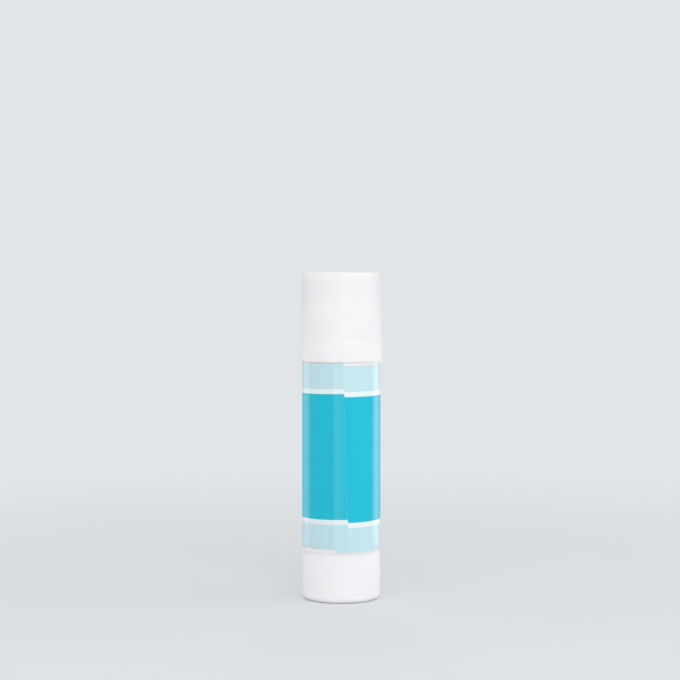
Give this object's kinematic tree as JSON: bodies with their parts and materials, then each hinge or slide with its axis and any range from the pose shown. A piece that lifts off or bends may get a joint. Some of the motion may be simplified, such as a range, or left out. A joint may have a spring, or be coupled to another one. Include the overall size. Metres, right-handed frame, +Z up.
{
  "type": "glue stick",
  "caption": "Upright twist-up glue stick: round barrel with a wrapped film label, turning base, screw spindle and carrier that raise the adhesive, and a pull-off cap.",
  "frame": {"origin": "centre of the turning base's underside, which it stands on", "axes": "+Z up the stick's axis to the cap, -Y towards the front where the label's seam is, +X to the right"},
  "size_m": [0.0216, 0.0216, 0.086],
  "materials": {
    "white_plastic": "satin white moulded plastic",
    "inner_plastic": "plain moulded plastic",
    "label_film": "glossy printed film, teal with pale blue ends and white lines",
    "adhesive": "waxy, slightly translucent"
  },
  "bodies": {
    "barrel": {"barrel": "white_plastic", "label": "label_film"},
    "knob": {"knob": "white_plastic", "spindle": "inner_plastic"},
    "carriage": {"carrier": "inner_plastic", "glue": "adhesive"},
    "cap": {"cap": "white_plastic"}
  },
  "joints": [
    {"name": "knob_turn", "type": "hinge", "parent": "barrel", "child": "knob", "pos_m": [0, 0, 0.0129], "axis": [0, 0, 1], "range_deg": [0, 3960]},
    {"name": "glue_lift", "type": "slide", "parent": "barrel", "child": "carriage", "axis": [0, 0, 1], "range_m": [0, 0.044]},
    {"name": "cap_pull", "type": "slide", "parent": "carriage", "child": "cap", "axis": [0, 0, 1], "range_m": [0, 0.025]}
  ],
  "couplings": [
    {"joint": "glue_lift", "follows": "knob_turn", "m_per_rad": 0.00063662}
  ]
}
